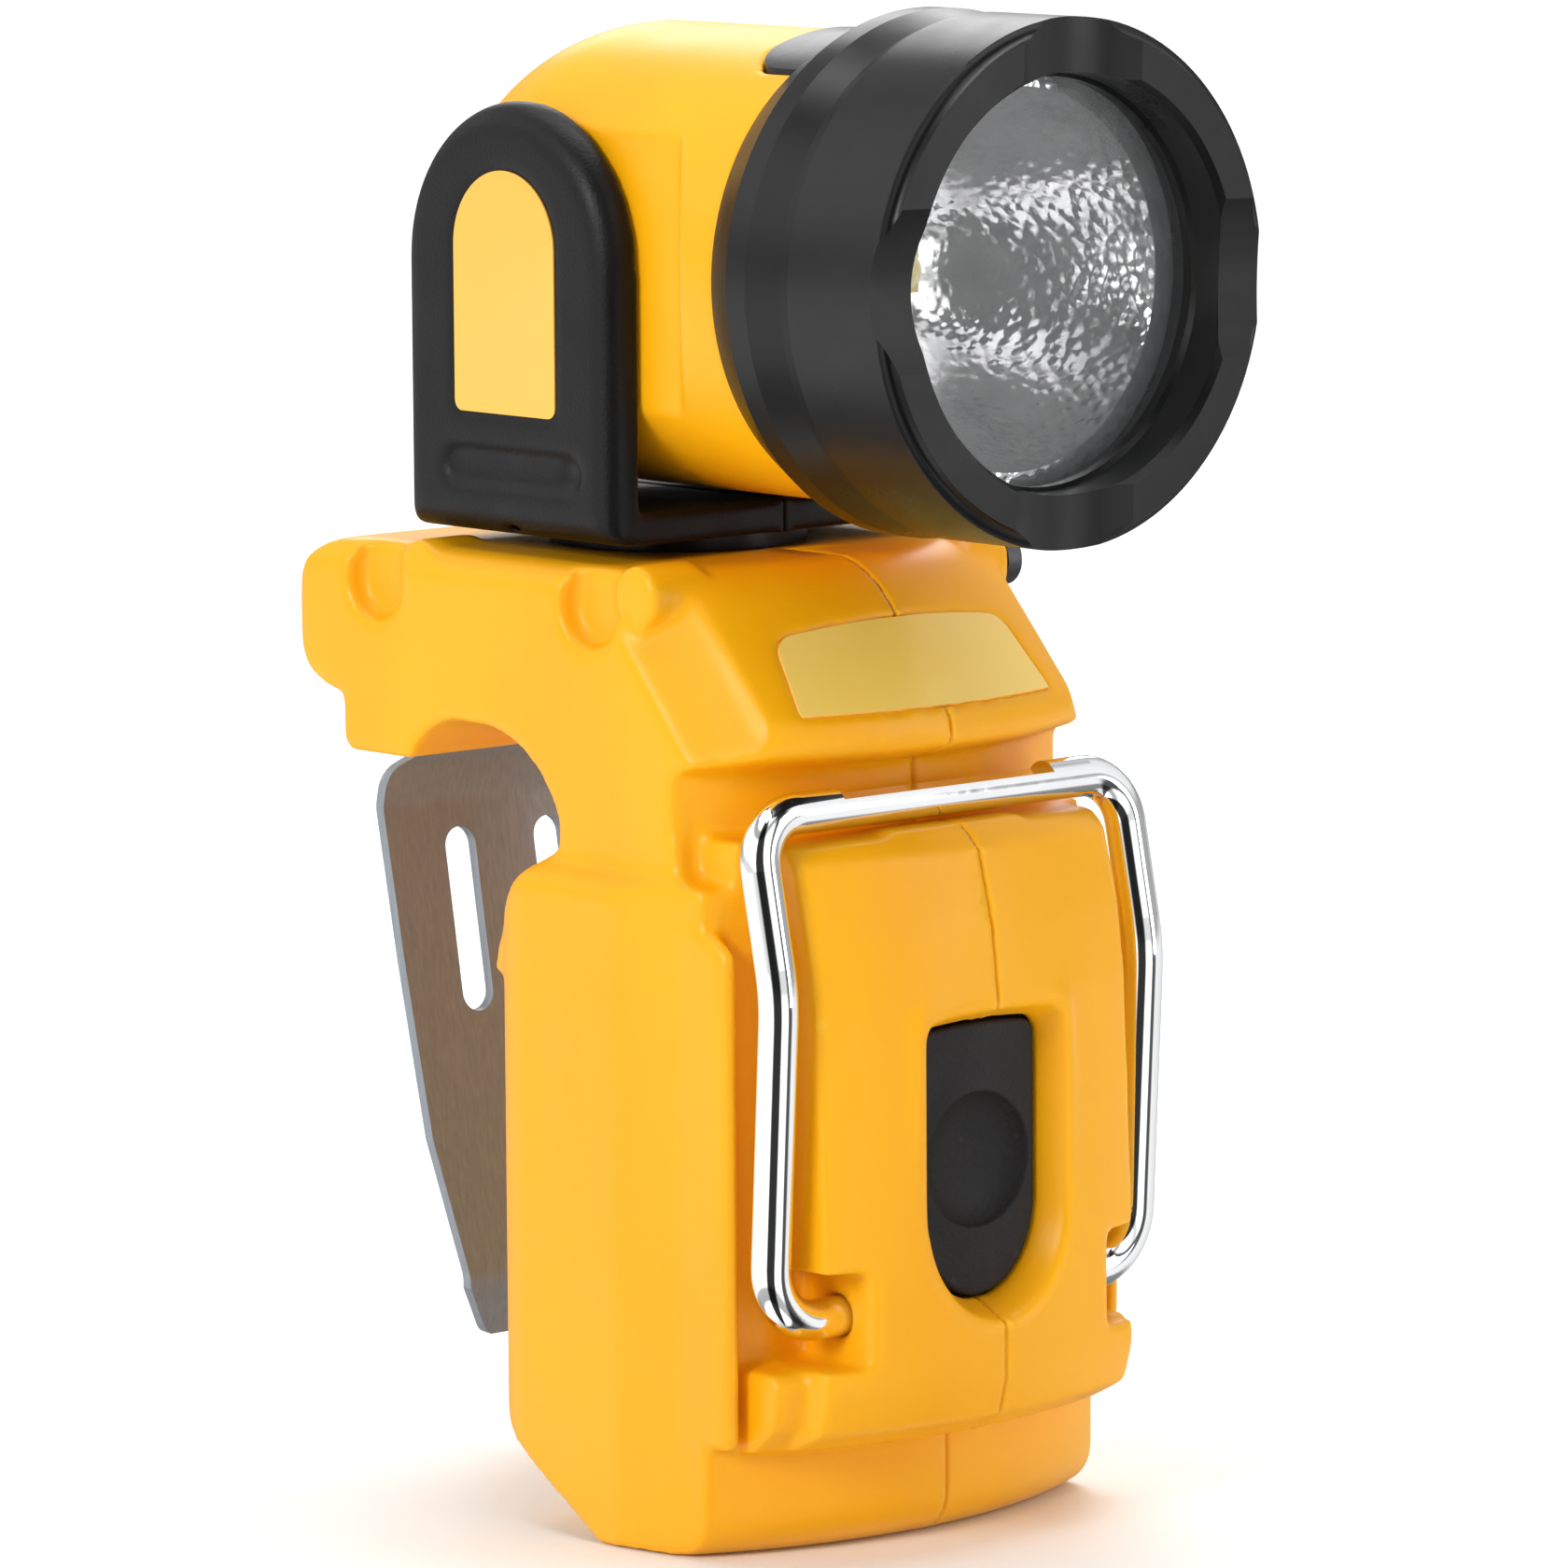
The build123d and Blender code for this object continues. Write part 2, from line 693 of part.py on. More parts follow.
# ---------------------------------------------------------------- belt clip
with BuildPart() as belt_clip:
    add(sheet(
        [(48.9, 13.6), (46.9, 20.6), (55.9, 73.6), (54.6, 78.6), (CLIP_TAB_Y, 84.6), (CLIP_TAB_Y, 101.3)],
        [4.0, 3.0, 4.0, 4.0],
        (-18, 18),
    ))
    with BuildSketch(at_y(70)) as blank:
        with BuildLine():
            edge = Polyline(
                (0, 13.0),
                (8.2, 13.0),
                (12.2, 19.4),
                (15.5, 36.5),
                (16.5, 56.0),
                (17.1, 77.6),
                (13.1, 79.6),
                (13.1, 101.3),
                (0, 101.3),
            )
            mirror(edge, about=Plane.YZ)
        make_face()
        fillet(corners(blank, 17.1, 77.6), radius=3.0)
        fillet(corners(blank, 8.2, 13.0), radius=3.6)
        with Locations((-6.5, 60.2), (6.5, 60.2)):
            SlotCenterToCenter(16.2, 4.4, rotation=90, mode=Mode.SUBTRACT)
        with Locations((-CLIP_SCREW_X, CLIP_SCREW_Z), (CLIP_SCREW_X, CLIP_SCREW_Z)):
            Circle(SCREW_R + 0.15, mode=Mode.SUBTRACT)
    extrude(amount=40, mode=Mode.INTERSECT)
save(belt_clip.part, "belt_clip")

with BuildPart() as clip_screws:
    for x in (-CLIP_SCREW_X, CLIP_SCREW_X):
        tip, head = (x, 45.6, CLIP_SCREW_Z), (x, 55.3 + HAIR, CLIP_SCREW_Z)
        add(screw(tip, head, SCREW_R, SCREW_HEAD_R, SCREW_HEAD_T))
save(clip_screws.part, "clip_screws")

# ---------------------------------------------------------------- switch
with BuildPart() as switch_button:
    add(button_prism(BUTTON_HALF, BUTTON_FACE, WELL_BACK + FIT))
    add(button_prism(BUTTON_HALF + 1.4, WELL_BACK + FIT, WELL_BACK + FIT + 1.0))
    rim = switch_button.edges().group_by(Axis.Y)[0]
    fillet(rim, radius=0.45)
    with Locations((0, BUTTON_FACE - 9.6, DISH_Z)):
        Sphere(12.2, mode=Mode.SUBTRACT)
save(switch_button.part, "switch_button")

PLUNGER_ROOT = WELL_BACK + FIT + 1.0
save(rod_y(0, (PLUNGER_ROOT, -18.6), DISH_Z, 1.6), "switch_plunger")

with BuildPart() as switch_housing:
    add(box((-6, 6), (-19.0, -16.45), (DISH_Z - 6, DISH_Z + 6)))
    add(rod_y(0, (-19.1, -16.9), DISH_Z, 1.9), mode=Mode.SUBTRACT)
save(switch_housing.part, "switch_housing")
save(box((-7, 7), (-16.35, -15.1), (DISH_Z - 9, DISH_Z + 10)), "switch_board")

# ---------------------------------------------------------------- electronics
with BuildPart() as terminal_block:
    add(box((-12, 12), (-5, 2), (76.9, 79.0)))
    add(box((-14, 14), (-7, 4), (78.6, 84.0)))
    for x in BLADE_XS:
        add(box((x - 0.45, x + 0.45), (-4.1, 1.1), (76, 85)), mode=Mode.SUBTRACT)
save(terminal_block.part, "terminal_block")

with BuildPart() as terminal_blades:
    for x in BLADE_XS:
        add(box((x - 0.4, x + 0.4), (-4, 1), (73.4, 86.0)))
save(terminal_blades.part, "terminal_blades")

BOARD_Z = 90.4
with BuildPart() as driver_board:
    add(box((-19.5, 19.5), (-6.5, 43.0), (BOARD_Z, BOARD_Z + 1.6)))
    add(rod_z(10.5, -4.0, (BOARD_Z - 1, BOARD_Z + 2), 0.9), mode=Mode.SUBTRACT)
    add(box((-4, 4), (30, 37), (BOARD_Z + 1.6, BOARD_Z + 3.0)))
    add(box((8, 14), (12, 18), (BOARD_Z + 1.6, BOARD_Z + 3.0)))
save(driver_board.part, "driver_board")

with BuildPart() as driver_inductor:
    with BuildSketch(Plane.XY.offset(BOARD_Z + 1.65)):
        with Locations((-9, 3)):
            RectangleRounded(10, 10, 2)
    extrude(amount=4.6)
    fillet(driver_inductor.edges().group_by(Axis.Z)[-1], radius=0.8)
save(driver_inductor.part, "driver_inductor")

with BuildPart() as driver_capacitors:
    for x in (6.0, 13.5):
        add(rod_z(x, 4.0, (BOARD_Z + 1.65, BOARD_Z + 7.2), 3.0))
save(driver_capacitors.part, "driver_capacitors")

LEAD_R = 0.55
with BuildPart() as body_wires:
    for x in (-9.0, 9.0):
        add(piped([(x, -1.5, 86.05), (x, -1.5, 88.0), (x, 4.0, 88.0), (x, 4.0, BOARD_Z - 0.05)],
                  [0.9, 0.9], LEAD_R))
    add(piped([(6.0, -15.7, 51.85), (6.0, -15.7, 55.0), (10.5, -14.85, 59.0), (10.5, -14.85, 75.4),
               (10.5, -9.7, 75.4), (10.5, -9.7, 84.0), (10.5, -4.0, 86.6), (10.5, -4.0, BOARD_Z - 0.05)],
              [1.5, 4.0, 1.5, 1.5, 2.5, 1.5], LEAD_R))
    for x in (-1.5, 1.5):
        add(piped([(x, 15.0, BOARD_Z + 1.65), (x, 15.0, 95.0), (x, TILT_Y, 95.0), (x, TILT_Y, 103.8)],
                  [2.0, 2.0], LEAD_R))
save(body_wires.part, "body_wires")

# ---------------------------------------------------------------- bail
with BuildPart() as bail_wire:
    right = [(SOCKET_END + 0.3, PIVOT_Y, PIVOT_Z), (BAIL_HALF, PIVOT_Y, PIVOT_Z), (BAIL_HALF, -21.9, 62.0),
             (BAIL_HALF, -18.0, 80.7)]
    left = [(-x, y, z) for x, y, z in right[::-1]]
    add(piped(right + left, [BAIL_BEND, 22.0, 5.6, 5.6, 22.0, BAIL_BEND], WIRE_R))
    add(box((-15.3, 15.3), (-30, 0), (81.9, 90)), mode=Mode.SUBTRACT)
save(bail_wire.part, "bail_wire")

# ---------------------------------------------------------------- battery
BASE_T = 2.2
SKIN_T = 1.4
LATCH = Plane(origin=(0, 17.1, CHAMFER_RISE * 13.1), x_dir=(1, 0, 0), z_dir=(0, 0.537, -0.843))


def base_profile(lift):
    """Underside of the battery, lifted; a slab that reaches well above it."""
    return slab_x([
        (-40, lift),
        (CHAMFER_Y - lift * 0.3, lift),
        (BACK_Y, CHAMFER_RISE * (BACK_Y - CHAMFER_Y) + lift * 1.19),
        (BACK_Y, 120),
        (-40, 120),
    ], (-40, 40))


def base_inner():
    """Top side of the battery's base plate; a slab that reaches well above it."""
    level = CHAMFER_Y + (BASE_T - SKIN_T) / CHAMFER_RISE
    return slab_x([
        (-40, BASE_T),
        (level, BASE_T),
        (BACK_Y, CHAMFER_RISE * (BACK_Y - CHAMFER_Y) + SKIN_T),
        (BACK_Y, 120),
        (-40, 120),
    ], (-40, 40))


with BuildPart() as battery_base:
    add(pack_form(0, 0, 14))
    add(base_profile(0), mode=Mode.INTERSECT)
    add(base_inner(), mode=Mode.SUBTRACT)
    for x in (-9.3, 9.3):
        add(rod_z(x, -9.4, (-1, 3), 1.1), mode=Mode.SUBTRACT)
        add(rod_z(x, -9.4, (-1, 1.1), 1.95), mode=Mode.SUBTRACT)
    with BuildSketch(LATCH.offset(1)):
        Rectangle(16.6, 6.8)
    extrude(amount=-5, mode=Mode.SUBTRACT)
save(battery_base.part, "battery_base")

with BuildPart() as battery_case:
    add(pack_solid(0))
    add(base_inner().moved(Location((0, 0, HAIR))), mode=Mode.INTERSECT)
    for x, y in CELL_SPOTS:
        add(rod_z(x, y, (-2, PACK_TOP - 0.7), CELL_R + HAIR), mode=Mode.SUBTRACT)
    add(box((-22.5, 22.5), (-3.5, 4.0), (0, CELL_LOW)), mode=Mode.SUBTRACT)
    add(box((-20, 20), (TOWER_BACK + 0.3, PACK_BACK - 1.1), (-2, PACK_SHOULDER - 1.2)), mode=Mode.SUBTRACT)
    add(box((-14.8, 14.8), (-7.8, 4.8), (PACK_TOP - 1.8, TURRET_TOP - 1.0)), mode=Mode.SUBTRACT)
    for x in BLADE_XS:
        add(box((x - 0.8, x + 0.8), (-4.5, 1.5), (70, 80)), mode=Mode.SUBTRACT)
    for x in (-9.3, 9.3):
        add(rod_z(x, -9.4, (0, 12), 0.95), mode=Mode.SUBTRACT)
save(battery_case.part, "battery_case")

for number, (x, y) in enumerate(CELL_SPOTS, 1):
    with BuildPart() as cell:
        add(rod_z(x, y, (CELL_LOW, CELL_LOW + CELL_LEN - 0.8), CELL_R))
        fillet(cell.edges(), radius=0.5)
        add(rod_z(x, y, (CELL_LOW + CELL_LEN - 1.0, CELL_LOW + CELL_LEN), 3.6))
    save(cell.part, f"battery_cell_{number}")

STRAP_Z = CELL_LOW + CELL_LEN + 0.05
with BuildPart() as battery_straps:
    add(box((-20.5, 2.5), (-2.8, 2.2), (STRAP_Z, STRAP_Z + 0.2)))
    add(box((15.0, 20.0), (-2.8, 3.2), (STRAP_Z, STRAP_Z + 0.2)))
    add(box((-2.5, 20.5), (-2.8, 2.8), (CELL_LOW - 0.3, CELL_LOW - 0.05)))
    add(box((-21.5, -15.5), (-2.0, 3.2), (CELL_LOW - 0.3, CELL_LOW - 0.05)))
save(battery_straps.part, "battery_straps")

save(box((-14, 14), (17.2, 18.8), (17.0, 50.0)), "battery_board")

with BuildPart() as battery_contacts:
    for x in BLADE_XS:
        add(box((x - 1.2, x + 1.2), (-4, 1), (STRAP_Z + 0.5, STRAP_Z + 0.8)))
        for side in (-1, 1):
            add(box((x + side * 0.8, x + side * 1.2), (-4, 1), (STRAP_Z + 0.5, 74.8)))
save(battery_contacts.part, "battery_contacts")

with BuildPart() as battery_screws:
    for x in (-9.3, 9.3):
        add(screw((x, -9.4, 9.0), (x, -9.4, 1.05), 0.9, 1.8, 0.8))
save(battery_screws.part, "battery_screws")

with BuildPart() as latch_button:
    with BuildSketch(LATCH.offset(-0.1)):
        RectangleRounded(16.0, 6.2, 1.2)
    extrude(amount=-1.9)
    with BuildSketch(LATCH.offset(-1.9)):
        Rectangle(17.6, 7.2)
    extrude(amount=-0.9)
save(latch_button.part, "latch_button")

# ---------------------------------------------------------------- yoke
def yoke_frame():
    """U-shaped yoke with its spigot, in one piece."""
    with BuildPart() as frame:
        with BuildSketch(SIDE.offset(-ARM_OUT)):
            with Locations((TILT_Y, (YOKE_LOW + TILT_Z) / 2)):
                Rectangle(2 * ARM_R, TILT_Z - YOKE_LOW)
            with Locations((TILT_Y, TILT_Z)):
                Circle(ARM_R)
        extrude(amount=2 * ARM_OUT)
        fillet([e for e in frame.edges() if abs(abs(e.center().X) - ARM_OUT) < 0.01], radius=3.3)
        add(box((-ARM_IN, ARM_IN), (-20, 80), (YOKE_FLOOR, 200)), mode=Mode.SUBTRACT)
        add(rod_z(0, TILT_Y, (SPIGOT_LOW, YOKE_FLOOR), SPIGOT_R))
        # retainer groove, lead bores
        add(washer(SPIGOT_R + 1, 7.0, (100.8, 101.95)), mode=Mode.SUBTRACT)
        add(rod_z(0, TILT_Y, (SPIGOT_LOW - 1, 109.6), 4.0), mode=Mode.SUBTRACT)
        add(rod_x((-22.7, 0), TILT_Y, 108.6, 1.3), mode=Mode.SUBTRACT)
        add(rod_z(-22.6, TILT_Y, (107.6, TILT_Z), 1.3), mode=Mode.SUBTRACT)
        for side in (-1, 1):
            add(rod_x((side * 20, side * 21.5), TILT_Y, TILT_Z, 8.7), mode=Mode.SUBTRACT)
            add(rod_x((side * 20, side * (TRUNNION_END + 0.2)), TILT_Y, TILT_Z, TRUNNION_R + SHAFT),
                mode=Mode.SUBTRACT)
            # finger groove low on each arm
            with BuildSketch(SIDE.offset(side * 24.2)):
                with Locations((23.0, 114.6)):
                    SlotOverall(23.0, 4.4)
            extrude(amount=side * 3, mode=Mode.SUBTRACT)
            add(rod_x((side * 23.8, side * 26), 14.2, 114.6, 1.3), mode=Mode.SUBTRACT)
        add(label_slab(0, 24.4), mode=Mode.SUBTRACT)
        for y in (11.0, 37.0):
            add(rod_x((-12, 30), y, 108.9, 0.95), mode=Mode.SUBTRACT)
            add(rod_x((22.4, 30), y, 108.9, 1.6), mode=Mode.SUBTRACT)
    return frame.part


def label_slab(inset, x_in):
    """Arched label outline on the left arm, from x_in outward."""
    half = 8.5 - inset
    low = 120.3 + inset
    with BuildPart() as slab:
        with BuildSketch(SIDE.offset(-26)) as face:
            with Locations((TILT_Y, (low + 138.5) / 2)):
                Rectangle(2 * half, 138.5 - low)
            with Locations((TILT_Y, 138.5)):
                Circle(half)
            fillet([v for v in face.vertices() if v.Y < low + 1], radius=1.2)
        extrude(amount=26 - x_in)
    return slab.part


yoke = yoke_frame()
save(half_of(yoke, -1), "yoke_left_half")
save(half_of(yoke, 1), "yoke_right_half")

with BuildPart() as yoke_screws:
    for y in (11.0, 37.0):
        add(screw((-11.5, y, 108.9), (22.45, y, 108.9), 0.9, 1.5, 1.4))
save(yoke_screws.part, "yoke_screws")

with BuildPart() as arm_label:
    add(label_slab(0.15, 24.45))
    add(box((-30, -24.9), (0, 60), (100, 160)), mode=Mode.SUBTRACT)
save(arm_label.part, "arm_label")

save(washer(COLLAR_R, SPIGOT_R + HAIR, (105.2, YOKE_LOW - 0.05)), "swivel_collar")
save(washer(10.0, SPIGOT_R + HAIR, (102.0, 102.8)), "swivel_washer")
with BuildPart() as swivel_retainer:
    add(washer(9.6, 7.1, (100.9, 101.85)))
    add(box((-3, 3), (TILT_Y - 12, TILT_Y), (100, 103)), mode=Mode.SUBTRACT)
save(swivel_retainer.part, "swivel_retainer")

with BuildPart() as yoke_wires:
    for side in (-0.6, 0.6):
        y = TILT_Y + side
        add(piped([(0, y, 104.4), (0, y, 108.6), (-22.6, y, 108.6), (-22.6, y, 130.0)], [1.2, 0.9], 0.5))
save(yoke_wires.part, "yoke_wires")


# ---------------------------------------------------------------- head
def head_form(r, front_half, back_half, step):
    """Barrel with a domed back, flattened on both sides behind the step."""
    with BuildPart() as form:
        with BuildSketch(Plane.XY.offset(TILT_Z)):
            with BuildLine():
                Line((0, HEAD_FRONT - step), (r, HEAD_FRONT - step))
                Line((r, HEAD_FRONT - step), (r, TILT_Y))
                RadiusArc((r, TILT_Y), (0, TILT_Y + r), -r)
                Line((0, TILT_Y + r), (0, HEAD_FRONT - step))
            make_face()
        revolve(axis=LENS_AXIS)
        with BuildSketch(Plane.XY.offset(TILT_Z - 40)):
            with BuildLine():
                flank = Polyline(
                    (0, -20),
                    (front_half, -20),
                    (front_half, -6.0 - step),
                    (back_half, -0.2 - step),
                    (back_half, 60),
                    (0, 60),
                )
                mirror(flank, about=Plane.YZ)
            make_face()
        extrude(amount=80, mode=Mode.INTERSECT)
    return form.part




def tab_form(half, back, r_in, r_out):
    """Tongue on top of the head, rounded at its back corners."""
    with BuildPart() as tongue:
        add(turned([(r_in, HEAD_FRONT - 0.1), (r_out, HEAD_FRONT - 0.1), (r_out, back), (r_in, back)]))
        with BuildSketch(Plane.XY.offset(TILT_Z)) as plan:
            with Locations((0, back - 20)):
                Rectangle(2 * half, 40)
            fillet(corners(plan, half, back), radius=4.5)
        extrude(amount=40, mode=Mode.INTERSECT)
    return tongue.part


def head_shell():
    """Both head halves in one piece."""
    with BuildPart() as shell:
        add(head_form(HEAD_R, 26.0, FACET, 0))
        add(head_form(HEAD_R - HEAD_WALL, 24.0, FACET - 1.9, 1.0), mode=Mode.SUBTRACT)
        for side in (-1, 1):
            add(rod_x((side * 17.6, side * TRUNNION_END), TILT_Y, TILT_Z, TRUNNION_R))
        for y, z in HEAD_SCREWS:
            add(rod_x((-19, 19), y, z, 2.7))
            add(rod_x((-16, 30), y, z, 1.05), mode=Mode.SUBTRACT)
            add(rod_x((18.4, 30), y, z, 2.1), mode=Mode.SUBTRACT)
        add(rod_x((-30, -10), TILT_Y, TILT_Z, 2.5), mode=Mode.SUBTRACT)
        add(rod_x((10, 30), TILT_Y, TILT_Z, 2.5), mode=Mode.SUBTRACT)
        add(tab_form(TAB_HALF + HAIR, TAB_BACK + HAIR, 22.0, 27.0), mode=Mode.SUBTRACT)
    return shell.part


head = head_shell()
save(half_of(head, -1), "head_left_half")
save(half_of(head, 1), "head_right_half")

with BuildPart() as head_screws:
    for y, z in HEAD_SCREWS:
        add(screw((-15.5, y, z), (18.45, y, z), 1.0, 2.0, 1.5))
save(head_screws.part, "head_screws")

with BuildPart() as head_collar:
    add(turned([
        (22.0, -29.0),
        (24.9, -29.0),
        (24.9, HEAD_FRONT - 0.1),
        (23.2, HEAD_FRONT - 0.1),
        (23.2, -7.3),
        (22.0, -7.3),
    ]))
    add(tab_form(TAB_HALF, TAB_BACK, 22.6, HEAD_R + 0.3))
save(head_collar.part, "head_collar")

with BuildPart() as bezel_ring:
    with BuildSketch(Plane.XY.offset(TILT_Z)):
        with BuildLine():
            Polyline(
                (25.0, HEAD_FRONT - 0.2),
                (25.8, HEAD_FRONT - 0.2),
                (28.2, -16.0),
                (28.2, -19.0),
                (27.4, -23.6),
                (27.3, -24.6),
                (28.0, -25.4),
                (28.0, -38.7),
            )
            RadiusArc((28.0, -38.7), (26.7, BEZEL_FRONT), -1.3)
            Polyline(
                (26.7, BEZEL_FRONT),
                (22.9, BEZEL_FRONT),
                (22.3, -39.2),
                (22.0, -35.2),
                (21.6, -34.6),
                (21.6, -33.4),
                (23.3, -33.4),
                (23.3, -29.2),
                (25.0, -29.2),
                (25.0, HEAD_FRONT - 0.2),
            )
        make_face()
    revolve(axis=LENS_AXIS)
    # four scallops in the front rim
    for turn in (-1.7, 88.3):
        x = 40 * cos(radians(turn))
        z = 40 * sin(radians(turn))
        add(rod((-x, SCALLOP_Y, TILT_Z - z), (x, SCALLOP_Y, TILT_Z + z), SCALLOP_R), mode=Mode.SUBTRACT)
save(bezel_ring.part, "bezel_ring")

save(turned([(21.8, -33.3), (23.2, -33.3), (23.2, -32.3), (21.8, -32.3)]), "lens_gasket")
save(turned([(0, -32.25), (23.2, -32.25), (23.2, -30.4), (0, -30.4)]), "lens")

# mirror: r^2 = 19.7 s from a vertex at Y = -9.17
with BuildPart() as reflector:
    with BuildSketch(Plane.XY.offset(TILT_Z)):
        with BuildLine():
            Bezier((4.5, -10.2), (12.45, -13.83), (20.4, -30.3))
            Polyline((20.4, -30.3), (23.1, -30.3), (23.1, -29.3), (21.3, -29.3))
            Bezier((21.3, -29.3), (13.6, -13.0), (5.6, -10.2))
            Line((5.6, -10.2), (4.5, -10.2))
        make_face()
    revolve(axis=LENS_AXIS)
save(reflector.part, "reflector")

with BuildPart() as led_emitter:
    add(box((-2.5, 2.5), (-12.4, -10.1), (TILT_Z - 2.5, TILT_Z + 2.5)))
    with Locations((0, -12.4, TILT_Z)):
        Sphere(2.2)
save(led_emitter.part, "led_emitter")

with BuildPart() as led_board:
    add(rod_y(0, (-10.0, -8.4), TILT_Z, 9.0))
    for z in (TILT_Z - 6.4, TILT_Z + 6.4):
        add(rod_y(0, (-11, -8), z, 0.8), mode=Mode.SUBTRACT)
save(led_board.part, "led_board")

with BuildPart() as heat_sink:
    add(rod_y(0, (-8.3, -5.2), TILT_Z, 21.8))
    add(rod_y(0, (-5.4, 3.0), TILT_Z, 17.0))
    for number in range(-3, 5):
        x = 4.4 * number - 2.2
        add(box((x - 1.3, x + 1.3), (-5.2, 5), (TILT_Z - 30, TILT_Z + 30)), mode=Mode.SUBTRACT)
    for z in (TILT_Z - 6.4, TILT_Z + 6.4):
        add(rod_y(0, (-9, 5), z, 1.2), mode=Mode.SUBTRACT)
save(heat_sink.part, "heat_sink")

with BuildPart() as led_wires:
    for side in (-1, 1):
        z = TILT_Z + side * 6.4
        y = TILT_Y + side * 0.8
        add(piped([(0, -8.9, z), (0, y, z), (-9.0, y, TILT_Z), (-22.0, y, TILT_Z)], [4.0, 3.0], 0.5))
save(led_wires.part, "led_wires")

with BuildPart() as tilt_washers:
    for side in (-1, 1):
        with BuildSketch(SIDE.offset(side * 20.45)):
            with Locations((TILT_Y, TILT_Z)):
                Circle(8.5)
                Circle(TRUNNION_R + 0.2, mode=Mode.SUBTRACT)
        extrude(amount=side * 0.95)
save(tilt_washers.part, "tilt_washers")
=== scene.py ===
import json
from math import cos, radians, sin

import bpy
import numpy as np
from mathutils import Matrix, Vector
from mathutils.bvhtree import BVHTree


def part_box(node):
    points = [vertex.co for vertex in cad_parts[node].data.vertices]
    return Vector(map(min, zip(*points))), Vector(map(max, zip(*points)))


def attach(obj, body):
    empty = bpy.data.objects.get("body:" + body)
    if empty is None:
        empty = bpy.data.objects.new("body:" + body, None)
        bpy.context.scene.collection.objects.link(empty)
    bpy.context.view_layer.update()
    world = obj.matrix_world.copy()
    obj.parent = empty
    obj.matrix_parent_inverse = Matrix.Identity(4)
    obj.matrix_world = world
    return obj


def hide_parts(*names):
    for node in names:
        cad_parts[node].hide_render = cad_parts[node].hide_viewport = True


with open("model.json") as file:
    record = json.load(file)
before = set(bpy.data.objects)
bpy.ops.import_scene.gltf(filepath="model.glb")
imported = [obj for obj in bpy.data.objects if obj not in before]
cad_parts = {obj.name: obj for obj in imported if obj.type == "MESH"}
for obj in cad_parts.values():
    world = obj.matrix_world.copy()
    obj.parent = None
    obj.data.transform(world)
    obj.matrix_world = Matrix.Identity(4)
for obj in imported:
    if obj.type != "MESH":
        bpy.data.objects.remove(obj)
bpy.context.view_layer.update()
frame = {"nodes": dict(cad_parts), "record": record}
nodes = frame["nodes"]

SLOT_OF = {s["node"]: s["material_slot"] for s in frame["record"]["subparts"]}
BODY_OF = {n: b for b, members in frame["record"]["behaviour"]["bodies"].items() for n in members}


# ------------------------------------------------------------------ materials
NOISE_LOW, NOISE_HIGH = 0.3, 0.7  # most of a noise texture's values lie between these
WORN_LOW, WORN_HIGH = 0.52, 0.60  # pointiness at which an edge starts to look rubbed, and is fully so
WORN_SHARE = 0.5  # how far a rubbed edge goes towards the worn colour
DARK_SHARE = 0.82  # the dark grain of a metal, as a share of its colour


def linear(r, g, b):
    """8-bit sRGB to scene-linear."""
    return tuple(((c / 255 + 0.055) / 1.055) ** 2.4 if c > 10 else c / 3294 for c in (r, g, b))


